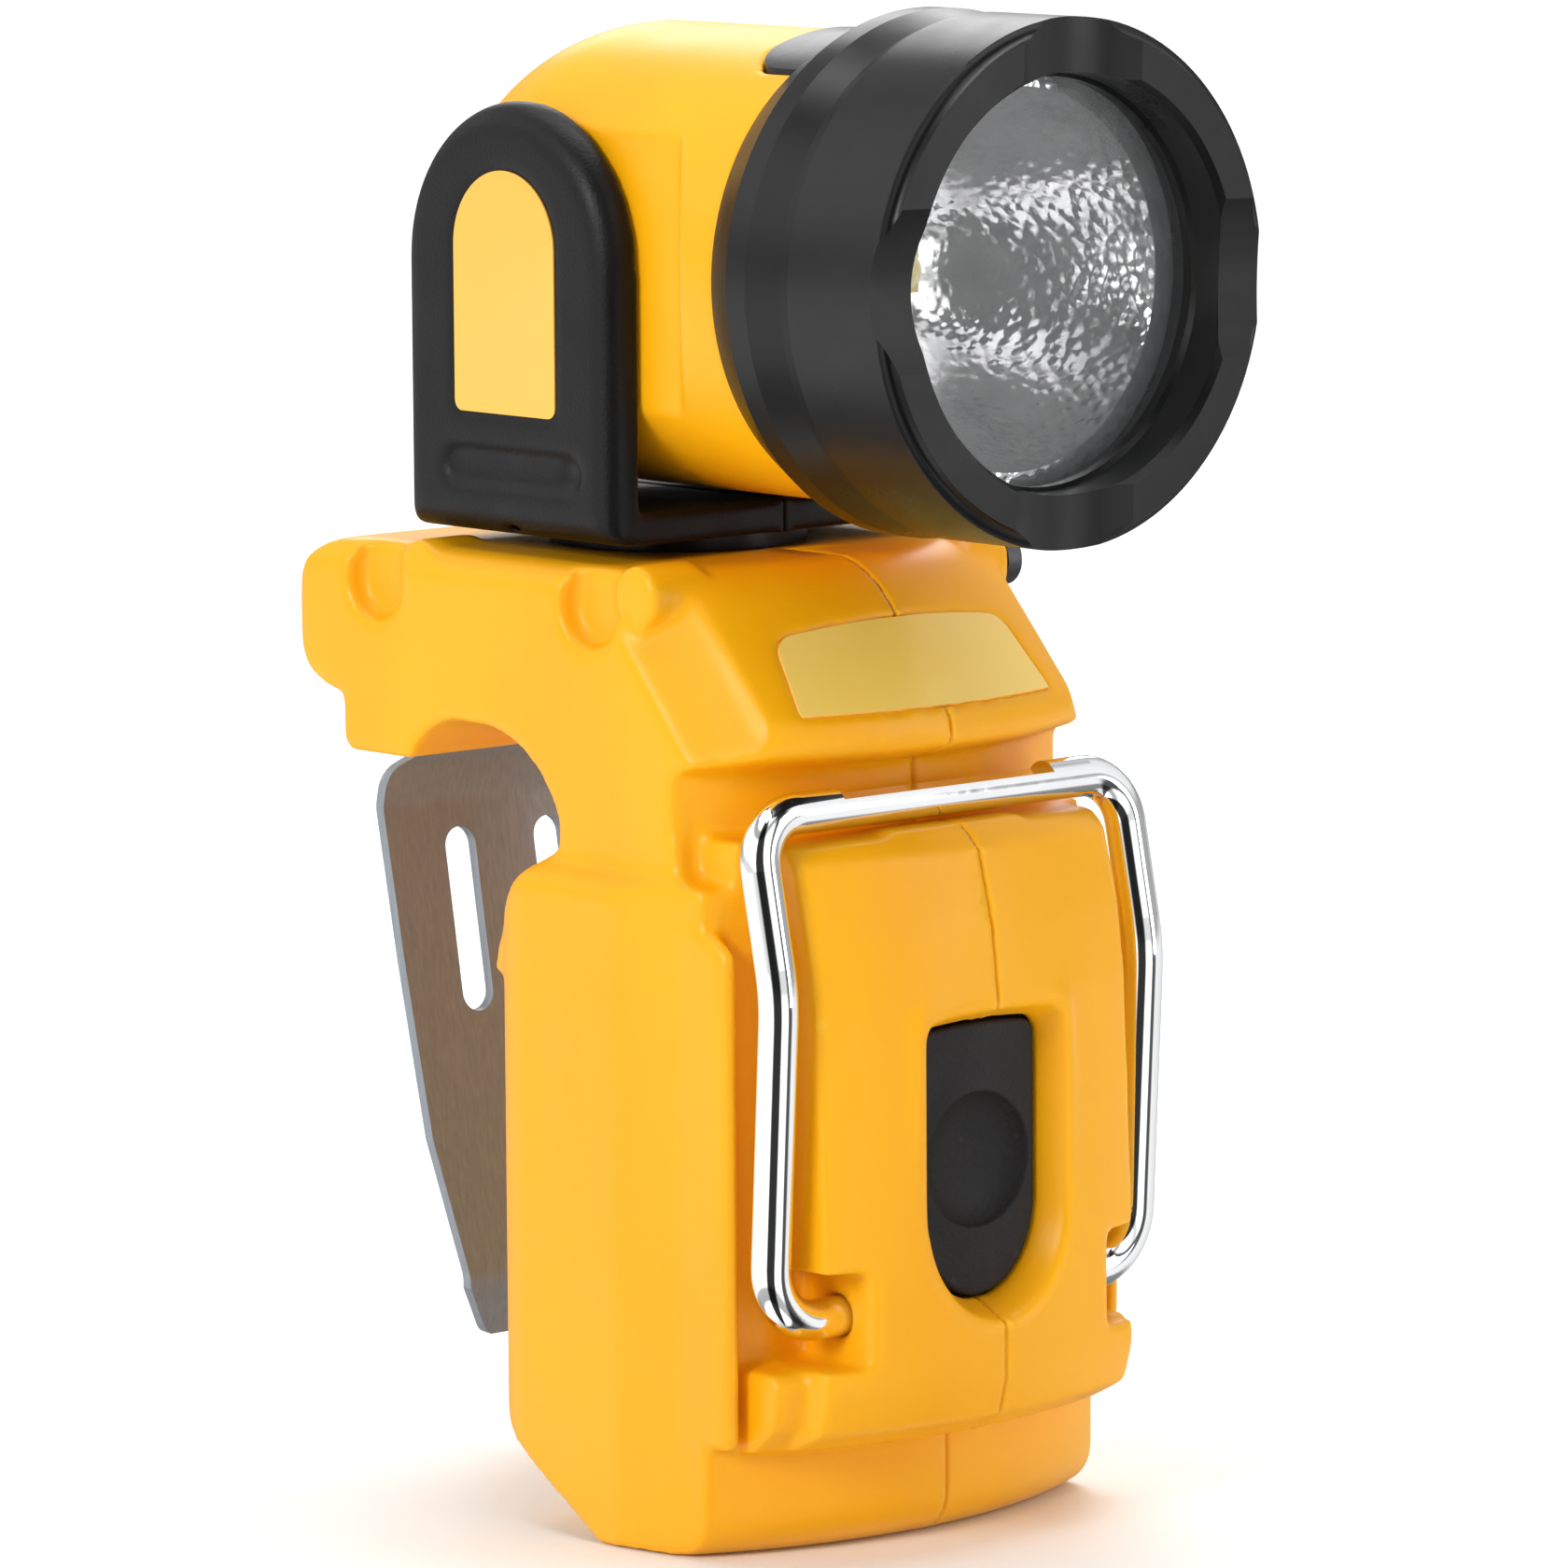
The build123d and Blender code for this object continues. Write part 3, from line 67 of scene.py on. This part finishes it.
class Mat:
    """A node material built round one Principled shader, in object coordinates."""

    def __init__(self, name, color, rough, metallic=0.0):
        self.mat = bpy.data.materials.new(name)
        self.mat.use_nodes = True
        self.tree = self.mat.node_tree
        self.shader = self.tree.nodes["Principled BSDF"]
        self.shader.inputs["Base Color"].default_value = (*color, 1)
        self.set(Roughness=rough, Metallic=metallic)
        self.coord = self.node("ShaderNodeTexCoord").outputs["Object"]
        self.normal = None

    def set(self, **sockets):
        """Constants on the shader's own sockets."""
        for key, value in sockets.items():
            self.shader.inputs[key.replace("_", " ")].default_value = value

    def node(self, kind, **settings):
        made = self.tree.nodes.new(kind)
        for key, value in settings.items():
            setattr(made, key, value)
        return made

    def link(self, a, b):
        self.tree.links.new(a, b)

    def noise(self, scale, detail, stretch=None):
        vector = self.coord
        if stretch:
            mapping = self.node("ShaderNodeMapping")
            mapping.inputs["Scale"].default_value = stretch
            self.link(self.coord, mapping.inputs["Vector"])
            vector = mapping.outputs["Vector"]
        texture = self.node("ShaderNodeTexNoise")
        texture.inputs["Scale"].default_value = scale
        texture.inputs["Detail"].default_value = detail
        self.link(vector, texture.inputs["Vector"])
        return texture.outputs["Fac"]

    def cells(self, scale, smoothness):
        texture = self.node("ShaderNodeTexVoronoi", feature="SMOOTH_F1")
        texture.inputs["Scale"].default_value = scale
        texture.inputs["Smoothness"].default_value = smoothness
        self.link(self.coord, texture.inputs["Vector"])
        return texture.outputs["Distance"]

    def remap(self, value, low, high, to_low, to_high):
        ramp = self.node("ShaderNodeMapRange")
        for key, number in zip(("From Min", "From Max", "To Min", "To Max"), (low, high, to_low, to_high)):
            ramp.inputs[key].default_value = number
        self.link(value, ramp.inputs["Value"])
        return ramp.outputs["Result"]

    def spread(self, noise, to_low=0.0, to_high=1.0):
        return self.remap(noise, NOISE_LOW, NOISE_HIGH, to_low, to_high)

    def mix(self, share, color_a, color_b):
        """Base colour between two colours; returns the mixed colour's socket."""
        blend = self.node("ShaderNodeMix", data_type="RGBA")
        blend.inputs["A"].default_value = (*color_a, 1)
        blend.inputs["B"].default_value = (*color_b, 1)
        self.link(share, blend.inputs["Factor"])
        self.link(blend.outputs["Result"], self.shader.inputs["Base Color"])
        return blend.outputs["Result"]

    def rough_from(self, noise, low, high):
        self.link(self.spread(noise, low, high), self.shader.inputs["Roughness"])

    def bump(self, height, strength, depth):
        """Adds relief on top of the bumps made before."""
        node = self.node("ShaderNodeBump")
        node.inputs["Strength"].default_value = strength
        node.inputs["Distance"].default_value = depth
        self.link(height, node.inputs["Height"])
        if self.normal is not None:
            self.link(self.normal, node.inputs["Normal"])
        self.normal = node.outputs["Normal"]
        self.link(self.normal, self.shader.inputs["Normal"])

    def edge_wear(self, under, color):
        """Edges rubbed towards a second colour, from the mesh's pointiness."""
        point = self.node("ShaderNodeNewGeometry").outputs["Pointiness"]
        worn = self.node("ShaderNodeMix", data_type="RGBA")
        self.link(self.remap(point, WORN_LOW, WORN_HIGH, 0.0, WORN_SHARE), worn.inputs["Factor"])
        self.link(under, worn.inputs["A"])
        worn.inputs["B"].default_value = (*color, 1)
        self.link(worn.outputs["Result"], self.shader.inputs["Base Color"])


def moulded(name, deep, light, worn, rough, grain, strength, depth, specular):
    """Moulded plastic: faint flow marks in the colour, spark-eroded grain in the surface."""
    m = Mat(name, linear(*light), rough[0])
    flow = m.noise(scale=38.0, detail=3.0, stretch=(1.0, 1.0, 0.35))
    m.edge_wear(m.mix(m.spread(flow), linear(*deep), linear(*light)), linear(*worn))
    m.rough_from(m.noise(scale=140.0, detail=4.0), *rough)
    m.bump(m.noise(scale=grain, detail=2.0), strength, depth)
    m.bump(m.noise(scale=60.0, detail=2.0), strength=0.10, depth=0.00012)
    m.set(Specular_IOR_Level=specular)
    return m


def plain_metal(name, color, rough, stretch, scale, strength, metallic):
    """Metal with a brushed or cast grain, drawn out along the axis with the small stretch."""
    m = Mat(name, color, rough[0], metallic)
    grain = m.noise(scale=scale, detail=4.0, stretch=stretch)
    m.mix(m.spread(grain), tuple(c * DARK_SHARE for c in color), color)
    m.rough_from(m.noise(scale=scale * 0.6, detail=3.0, stretch=stretch), *rough)
    m.bump(grain, strength, depth=0.00002)
    return m


def chrome_plate():
    m = Mat("chrome_plate", (0.90, 0.91, 0.92), 0.04, 1.0)
    m.rough_from(m.noise(scale=900.0, detail=5.0, stretch=(1.0, 1.0, 0.2)), 0.025, 0.09)
    m.mix(m.noise(scale=70.0, detail=2.0), (0.80, 0.81, 0.83), (0.95, 0.955, 0.96))
    m.bump(m.noise(scale=420.0, detail=2.0), strength=0.05, depth=0.00008)
    return m


def cell_sleeve():
    m = Mat("cell_sleeve", linear(24, 84, 150), 0.28)
    m.mix(m.spread(m.noise(scale=26.0, detail=2.0)), linear(20, 74, 136), linear(32, 98, 168))
    m.rough_from(m.noise(scale=120.0, detail=3.0), 0.22, 0.34)
    m.bump(m.noise(scale=240.0, detail=2.0), strength=0.08, depth=0.0001)
    return m


def solder_mask():
    """Circuit board: a brick pattern stands for the tracks under the mask."""
    m = Mat("solder_mask", linear(18, 84, 44), 0.3)
    tracks = m.node("ShaderNodeTexBrick")
    tracks.inputs["Scale"].default_value = 260.0
    tracks.inputs["Mortar Size"].default_value = 0.06
    for socket, color in (("Color1", (16, 78, 40)), ("Color2", (22, 92, 50)), ("Mortar", (52, 128, 70))):
        tracks.inputs[socket].default_value = (*linear(*color), 1)
    m.link(m.coord, tracks.inputs["Vector"])
    m.link(tracks.outputs["Color"], m.shader.inputs["Base Color"])
    m.rough_from(m.noise(scale=300.0, detail=2.0), 0.24, 0.36)
    m.bump(tracks.outputs["Fac"], strength=0.3, depth=0.00003)
    return m


def clear_lens():
    m = Mat("clear_lens", (0.55, 0.57, 0.58), 0.03)
    m.set(Alpha=0.10, Coat_Weight=1.0, Coat_Roughness=0.02, IOR=1.5)
    m.rough_from(m.noise(scale=60.0, detail=4.0), 0.015, 0.06)
    m.bump(m.noise(scale=30.0, detail=2.0), strength=0.02, depth=0.0002)
    return m


def orange_peel_mirror():
    m = Mat("orange_peel_mirror", (0.93, 0.93, 0.94), 0.1, 0.86)
    m.mix(m.spread(m.noise(scale=240.0, detail=3.0)), (0.80, 0.80, 0.81), (0.97, 0.97, 0.975))
    m.rough_from(m.noise(scale=320.0, detail=3.0), 0.05, 0.14)
    m.bump(m.cells(scale=820.0, smoothness=0.6), strength=0.32, depth=0.0003)
    m.bump(m.noise(scale=1500.0, detail=3.0), strength=0.25, depth=0.00010)
    return m


def led_phosphor():
    m = Mat("led_phosphor", linear(250, 226, 120), 0.2)
    m.mix(m.spread(m.noise(scale=900.0, detail=2.0)), linear(240, 206, 84), linear(255, 238, 150))
    m.set(Coat_Weight=1.0, Coat_Roughness=0.03)
    m.bump(m.noise(scale=1800.0, detail=2.0), strength=0.05, depth=0.00003)
    return m


# slot: name, deep, light and worn colour in sRGB, roughness from and to, grain scale, grain strength,
# grain depth in metres, specular level
PLASTICS = {
    "yellow_shell": ("amber_plastic", (250, 172, 8), (255, 183, 12), (255, 200, 50),
                     (0.32, 0.40), 4200.0, 0.22, 0.00005, 0.3),
    "black_yoke": ("yoke_plastic", (10, 10, 11), (18, 18, 19), (36, 36, 38),
                   (0.36, 0.46), 2800.0, 0.5, 0.00009, 0.18),
    "black_bezel": ("bezel_plastic", (8, 8, 9), (14, 14, 15), (30, 30, 32),
                    (0.26, 0.34), 5200.0, 0.14, 0.00004, 0.24),
    "battery_plastic": ("pack_plastic", (28, 28, 30), (40, 40, 42), (80, 80, 84),
                        (0.45, 0.55), 3200.0, 0.35, 0.00004, 0.5),
    "natural_nylon": ("natural_nylon", (44, 44, 46), (60, 60, 62), (100, 100, 104),
                      (0.45, 0.55), 4200.0, 0.3, 0.00004, 0.5),
    "slip_ring": ("acetal", (196, 193, 184), (214, 211, 203), (228, 226, 220),
                  (0.35, 0.45), 4200.0, 0.1, 0.00004, 0.5),
    "ferrite": ("ferrite", (36, 36, 39), (58, 58, 62), (100, 100, 104),
                (0.5, 0.65), 2600.0, 0.5, 0.00004, 0.5),
    "black_rubber": ("button_rubber", (20, 20, 22), (42, 42, 44), (52, 52, 54),
                     (0.58, 0.72), 2600.0, 0.9, 0.00014, 0.3),
    "seal_rubber": ("seal_rubber", (24, 24, 25), (34, 34, 36), (60, 60, 62),
                    (0.6, 0.7), 3600.0, 0.4, 0.00004, 0.5),
    "wire_insulation": ("wire_jacket", (128, 18, 14), (168, 28, 20), (190, 60, 50),
                        (0.35, 0.45), 4200.0, 0.1, 0.00004, 0.5),
    "name_foil": ("name_film", (255, 212, 96), (255, 222, 120), (255, 214, 110),
                  (0.18, 0.26), 1800.0, 0.04, 0.00004, 0.5),
    "label_foil": ("label_film", (240, 162, 14), (247, 176, 28), (255, 214, 110),
                   (0.34, 0.42), 1800.0, 0.06, 0.00004, 0.5),
}
EVEN = (1.0, 1.0, 1.0)
# slot: name, colour, roughness from and to, stretch of the grain, grain scale, grain strength, metallic
METALS = {
    "clip_steel": ("spring_steel", (0.27, 0.30, 0.34), (0.38, 0.54), (1.0, 1.0, 0.03), 2600.0, 0.22, 0.3),
    "screw_black": ("black_oxide", (0.10, 0.10, 0.105), (0.34, 0.5), EVEN, 1800.0, 0.15, 1.0),
    "screw_zinc": ("zinc_plate", (0.60, 0.61, 0.62), (0.25, 0.4), EVEN, 1400.0, 0.12, 1.0),
    "brass_parts": ("brass_strip", (0.80, 0.60, 0.27), (0.22, 0.36), (1.0, 1.0, 0.05), 2200.0, 0.12, 1.0),
    "nickel_strip": ("nickel_strip", (0.70, 0.68, 0.64), (0.22, 0.36), (0.05, 1.0, 1.0), 2200.0, 0.12, 1.0),
    "capacitor_can": ("capacitor_sleeve", (0.62, 0.63, 0.66), (0.25, 0.38), EVEN, 800.0, 0.1, 1.0),
    "heat_sink_metal": ("cast_aluminium", (0.66, 0.67, 0.68), (0.42, 0.6), EVEN, 1600.0, 0.5, 1.0),
}

BY_SLOT = {
    **{slot: moulded(*row) for slot, row in PLASTICS.items()},
    **{slot: plain_metal(*row) for slot, row in METALS.items()},
    "chrome_wire": chrome_plate(), "cell_jacket": cell_sleeve(), "circuit_board": solder_mask(),
    "clear_lens": clear_lens(), "mirror_coat": orange_peel_mirror(), "led_ceramic": led_phosphor(),
}
BY_SLOT["clip_steel"].set(Anisotropic=0.35)

for name, node in nodes.items():
    if not node.data.materials:
        node.data.materials.append(None)
    for place in node.material_slots:
        place.link = "OBJECT"
        place.material = BY_SLOT[SLOT_OF[name]].mat


# ------------------------------------------------------------- softened copies
SEAM_VOXELS = 1.6  # the seam band reaches this many voxels either side of the middle plane
DISH_RADIUS = 0.0074
DISH_FLOOR_GAP = 0.00035  # rubber left between the dish's floor and the plunger
DISH_MARGIN = 0.0002  # how far behind that floor a vertex still counts as part of the dish
DISH_FLATNESS, DISH_STEEPNESS = 3, 0.6  # powers of the profile: flat in the middle, steep at the rim


def coordinates(mesh):
    co = np.empty(len(mesh.vertices) * 3)
    mesh.vertices.foreach_get("co", co)
    return co.reshape(-1, 3)


def relax(mesh, rounds, hold):
    """Moves each vertex half way to the mean of its neighbours, apart from those held still."""
    co = coordinates(mesh)
    pairs = np.empty(len(mesh.edges) * 2, dtype=np.int32)
    mesh.edges.foreach_get("vertices", pairs)
    pairs = pairs.reshape(-1, 2)
    hold = hold[:, None]
    count = np.bincount(pairs.ravel(), minlength=len(co)).astype(float)[:, None]
    for _ in range(rounds):
        total = np.zeros_like(co)
        np.add.at(total, pairs[:, 0], co[pairs[:, 1]])
        np.add.at(total, pairs[:, 1], co[pairs[:, 0]])
        co += (1 - hold) * 0.5 * (total / np.maximum(count, 1) - co)
    mesh.vertices.foreach_set("co", co.ravel())
    mesh.update()


def apply_modifiers(obj):
    bpy.context.view_layer.update()
    evaluated = obj.evaluated_get(bpy.context.evaluated_depsgraph_get())
    mesh = bpy.data.meshes.new_from_object(evaluated)
    obj.modifiers.clear()
    obj.data = mesh


def hollow_dish(co):
    """Gives the button's dish a steep wall and a flat floor."""
    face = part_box("switch_button")[0].y
    plunger_low, plunger_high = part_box("switch_plunger")
    middle = (plunger_low.z + plunger_high.z) / 2
    floor = plunger_low.y - DISH_FLOOR_GAP
    reach = np.hypot(co[:, 0], co[:, 2] - middle) / DISH_RADIUS
    front = (reach < 1) & (co[:, 1] < floor + DISH_MARGIN)
    co[front, 1] = face + (floor - face) * (1 - reach[front] ** DISH_FLATNESS) ** DISH_STEEPNESS


def soften(node, piece, voxel, rounds, keep_ratio, reshape=None):
    """Copy of a CAD node with rounded, moulded edges. Its seam on the middle plane stays crisp.

    A copy that is reshaped has no seam, so nothing is held still in it.
    """
    source = nodes[node]
    obj = bpy.data.objects.new(piece, source.data.copy())
    bpy.context.scene.collection.objects.link(obj)
    remesh = obj.modifiers.new("grid", "REMESH")
    remesh.mode = "VOXEL"
    remesh.voxel_size = voxel
    remesh.adaptivity = 0.0
    apply_modifiers(obj)
    near_seam = (np.abs(coordinates(obj.data)[:, 0]) < voxel * SEAM_VOXELS) & (reshape is None)
    surface = BVHTree.FromObject(source, bpy.context.evaluated_depsgraph_get())
    for index in np.flatnonzero(near_seam):
        obj.data.vertices[index].co = surface.find_nearest(obj.data.vertices[index].co)[0]
    relax(obj.data, rounds, near_seam)
    if reshape:
        co = coordinates(obj.data)
        reshape(co)
        obj.data.vertices.foreach_set("co", co.ravel())
    thin = obj.modifiers.new("thin", "DECIMATE")
    thin.ratio = keep_ratio
    apply_modifiers(obj)
    obj.data.materials.clear()
    obj.data.materials.append(BY_SLOT[SLOT_OF[node]].mat)
    obj.data.polygons.foreach_set("use_smooth", [True] * len(obj.data.polygons))
    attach(obj, BODY_OF[node])
    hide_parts(node)


# node, piece, voxel in metres, rounds of relaxing, share of faces kept, reshape
SOFTENED = [
    ("body_left_shell", "shell_left", 0.0005, 10, 0.35),
    ("body_right_shell", "shell_right", 0.0005, 10, 0.35),
    ("head_left_half", "head_left", 0.0005, 3, 0.35),
    ("head_right_half", "head_right", 0.0005, 3, 0.35),
    ("yoke_left_half", "yoke_left", 0.0004, 12, 0.35),
    ("yoke_right_half", "yoke_right", 0.0004, 12, 0.35),
    ("switch_button", "button", 0.00022, 2, 0.5, hollow_dish),
]
for row in SOFTENED:
    soften(*row)


# ----------------------------------------------------------------- surroundings
AZIMUTH, ELEVATION, ROLL = radians(41.77), radians(7.87), radians(0.37)  # the camera's angles
RIGHT = Vector((cos(AZIMUTH), -sin(AZIMUTH), 0))  # to the right in the picture
AWAY = Vector((sin(AZIMUTH), cos(AZIMUTH), 0))  # level, away from the camera

PAPER_NEAR, PAPER_FAR, PAPER_TOP, PAPER_HALF_WIDTH = -1.6, 0.9, 2.4, 2.4
PAPER_CURVE, PAPER_STEP = 0.6, 9  # radius between floor and wall, and degrees from row to row
PAPER_DROP = 0.0001  # just under the object, so the two don't share a plane

FILL, GLOSSY, WHITE = 0.37, 1.9, 0.95  # strength for diffuse, glossy and camera rays
# level of the surroundings by bearing, anticlockwise from straight behind the object
SOFTBOXES = [
    (0, 0.10), (40, 0.35), (72, 0.85), (88, 1.0), (150, 1.0), (158, 0.02), (196, 0.02), (204, 1.0),
    (232, 1.0), (240, 0.05), (256, 0.05), (264, 0.55), (320, 0.45), (360, 0.10),
]
# and by elevation
OVERHEAD = [
    (-90, 0.35), (-66, 0.9), (-54, 0.9), (-48, 0.25), (-34, 0.30), (-28, 1.0), (-4, 1.0), (2, 0.45),
    (9, 0.45), (14, 1.0), (44, 1.0), (50, 0.25), (58, 0.25), (64, 0.9), (76, 0.9), (90, 0.25),
]

CENTRE = Vector((0, 0.01, 0.085))
# name, place, aim, width and height, watts
LAMPS = [
    ("key", RIGHT * -0.95 - AWAY * 1.1 + Vector((0, 0, 0.70)), CENTRE, (0.5, 0.5), 12.0),
    ("side", RIGHT * 0.9 - AWAY * 0.25 + Vector((0, 0, 0.35)), CENTRE, (0.3, 0.8), 2.4),
    ("top", Vector((0, 0, 0.95)), CENTRE, (0.5, 0.5), 1.8),
    ("rim", AWAY * 0.9 + Vector((0, 0, 0.6)), CENTRE, (0.5, 0.5), 2.5),
    ("wash", AWAY * 0.5 + Vector((0, 0, 1.5)), AWAY * 1.3, (1.6, 0.6), 14.0),
]


def backdrop():
    """Pale floor that curves up into a wall far behind the object."""
    curve = [(PAPER_FAR + PAPER_CURVE * sin(radians(a)), PAPER_CURVE - PAPER_CURVE * cos(radians(a)))
             for a in range(0, 91, PAPER_STEP)]
    rows = [(PAPER_NEAR, 0.0), *curve, (PAPER_FAR + PAPER_CURVE, PAPER_TOP)]
    points = [RIGHT * side + AWAY * distance + Vector((0, 0, height - PAPER_DROP))
              for distance, height in rows for side in (-PAPER_HALF_WIDTH, PAPER_HALF_WIDTH)]
    faces = [(2 * i, 2 * i + 1, 2 * i + 3, 2 * i + 2) for i in range(len(rows) - 1)]
    mesh = bpy.data.meshes.new("sweep")
    mesh.from_pydata(points, [], faces)
    mesh.polygons.foreach_set("use_smooth", [True] * len(faces))
    obj = bpy.data.objects.new("sweep", mesh)
    bpy.context.scene.collection.objects.link(obj)
    paper = Mat("paper", (0.93, 0.93, 0.93), 0.9)
    paper.bump(paper.noise(scale=400.0, detail=3.0), strength=0.03, depth=0.0002)
    mesh.materials.append(paper.mat)
    obj.visible_glossy = False


def area(name, place, aim, size, power):
    lamp = bpy.data.lights.new(name, "AREA")
    lamp.shape = "RECTANGLE"
    lamp.size, lamp.size_y = size
    lamp.energy = power
    obj = bpy.data.objects.new(name, lamp)
    obj.location = place
    obj.rotation_euler = (aim - place).to_track_quat("-Z", "Y").to_euler()
    bpy.context.scene.collection.objects.link(obj)


def studio_world():
    """Even white fill, and tall softboxes with dark gaps between them for what is glossy."""
    world = bpy.data.worlds.new("studio")
    bpy.context.scene.world = world
    world.use_nodes = True
    tree = world.node_tree
    tree.nodes.clear()

    def node(kind, **settings):
        made = tree.nodes.new(kind)
        for key, value in settings.items():
            setattr(made, key, value)
        return made

    def grey(level):
        return (level, level, level, 1)

    def ramp(source, stops):
        made = node("ShaderNodeValToRGB")
        ends = made.color_ramp.elements
        for end, (position, level) in zip((ends[0], ends[1]), (stops[0], stops[-1])):
            end.position, end.color = position, grey(level)
        for position, level in stops[1:-1]:
            made.color_ramp.elements.new(position).color = grey(level)
        tree.links.new(source, made.inputs["Fac"])
        return made.outputs["Color"]

    def background(strength, color=None):
        made = node("ShaderNodeBackground")
        made.inputs["Color"].default_value = grey(1)
        made.inputs["Strength"].default_value = strength
        if color:
            tree.links.new(color, made.inputs["Color"])
        return made.outputs["Background"]

    coord = node("ShaderNodeTexCoord").outputs["Generated"]
    turn = node("ShaderNodeMapping")
    turn.inputs["Rotation"].default_value = (0, 0, AZIMUTH + radians(90))
    tree.links.new(coord, turn.inputs["Vector"])
    around = node("ShaderNodeTexGradient", gradient_type="RADIAL")
    tree.links.new(turn.outputs["Vector"], around.inputs["Vector"])
    boxes = ramp(around.outputs["Fac"], [(side / 360, level) for side, level in SOFTBOXES])
    split = node("ShaderNodeSeparateXYZ")
    tree.links.new(coord, split.inputs["Vector"])
    height = node("ShaderNodeMapRange")
    height.inputs["From Min"].default_value = -1.0
    tree.links.new(split.outputs["Z"], height.inputs["Value"])
    above = ramp(height.outputs["Result"], [(0.5 + sin(radians(e)) / 2, level) for e, level in OVERHEAD])
    panels = node("ShaderNodeMix", data_type="RGBA", blend_type="MULTIPLY")
    panels.inputs["Factor"].default_value = 1.0
    tree.links.new(boxes, panels.inputs["A"])
    tree.links.new(above, panels.inputs["B"])

    path = node("ShaderNodeLightPath")
    seen = background(FILL)
    for ray, other in (("Is Glossy Ray", background(GLOSSY, panels.outputs["Result"])),
                       ("Is Camera Ray", background(WHITE))):
        choose = node("ShaderNodeMixShader")
        tree.links.new(path.outputs[ray], choose.inputs["Fac"])
        tree.links.new(seen, choose.inputs[1])
        tree.links.new(other, choose.inputs[2])
        seen = choose.outputs["Shader"]
    out = node("ShaderNodeOutputWorld")
    tree.links.new(seen, out.inputs["Surface"])


backdrop()
studio_world()
for lamp_row in LAMPS:
    area(*lamp_row)
bpy.context.scene.view_settings.view_transform = "Standard"


# ----------------------------------------------------------------------- camera
CAMERA_PLACE = (-0.6679, -0.7409, 0.2180)
FOCAL_LENGTH, SENSOR_WIDTH = 212.88, 36.0  # millimetres
CLIP_END = 20.0

behind = Vector((-sin(AZIMUTH) * cos(ELEVATION), -cos(AZIMUTH) * cos(ELEVATION), sin(ELEVATION)))
up = behind.cross(RIGHT)
across, upward = cos(ROLL) * RIGHT - sin(ROLL) * up, cos(ROLL) * up + sin(ROLL) * RIGHT
facing = Matrix((across, upward, behind)).transposed().to_4x4()
lens = bpy.data.cameras.new("camera")
lens.lens = FOCAL_LENGTH
lens.sensor_width = SENSOR_WIDTH
lens.clip_end = CLIP_END
camera = bpy.data.objects.new("camera", lens)
camera.matrix_world = Matrix.Translation(CAMERA_PLACE) @ facing
bpy.context.scene.collection.objects.link(camera)
bpy.context.scene.camera = camera
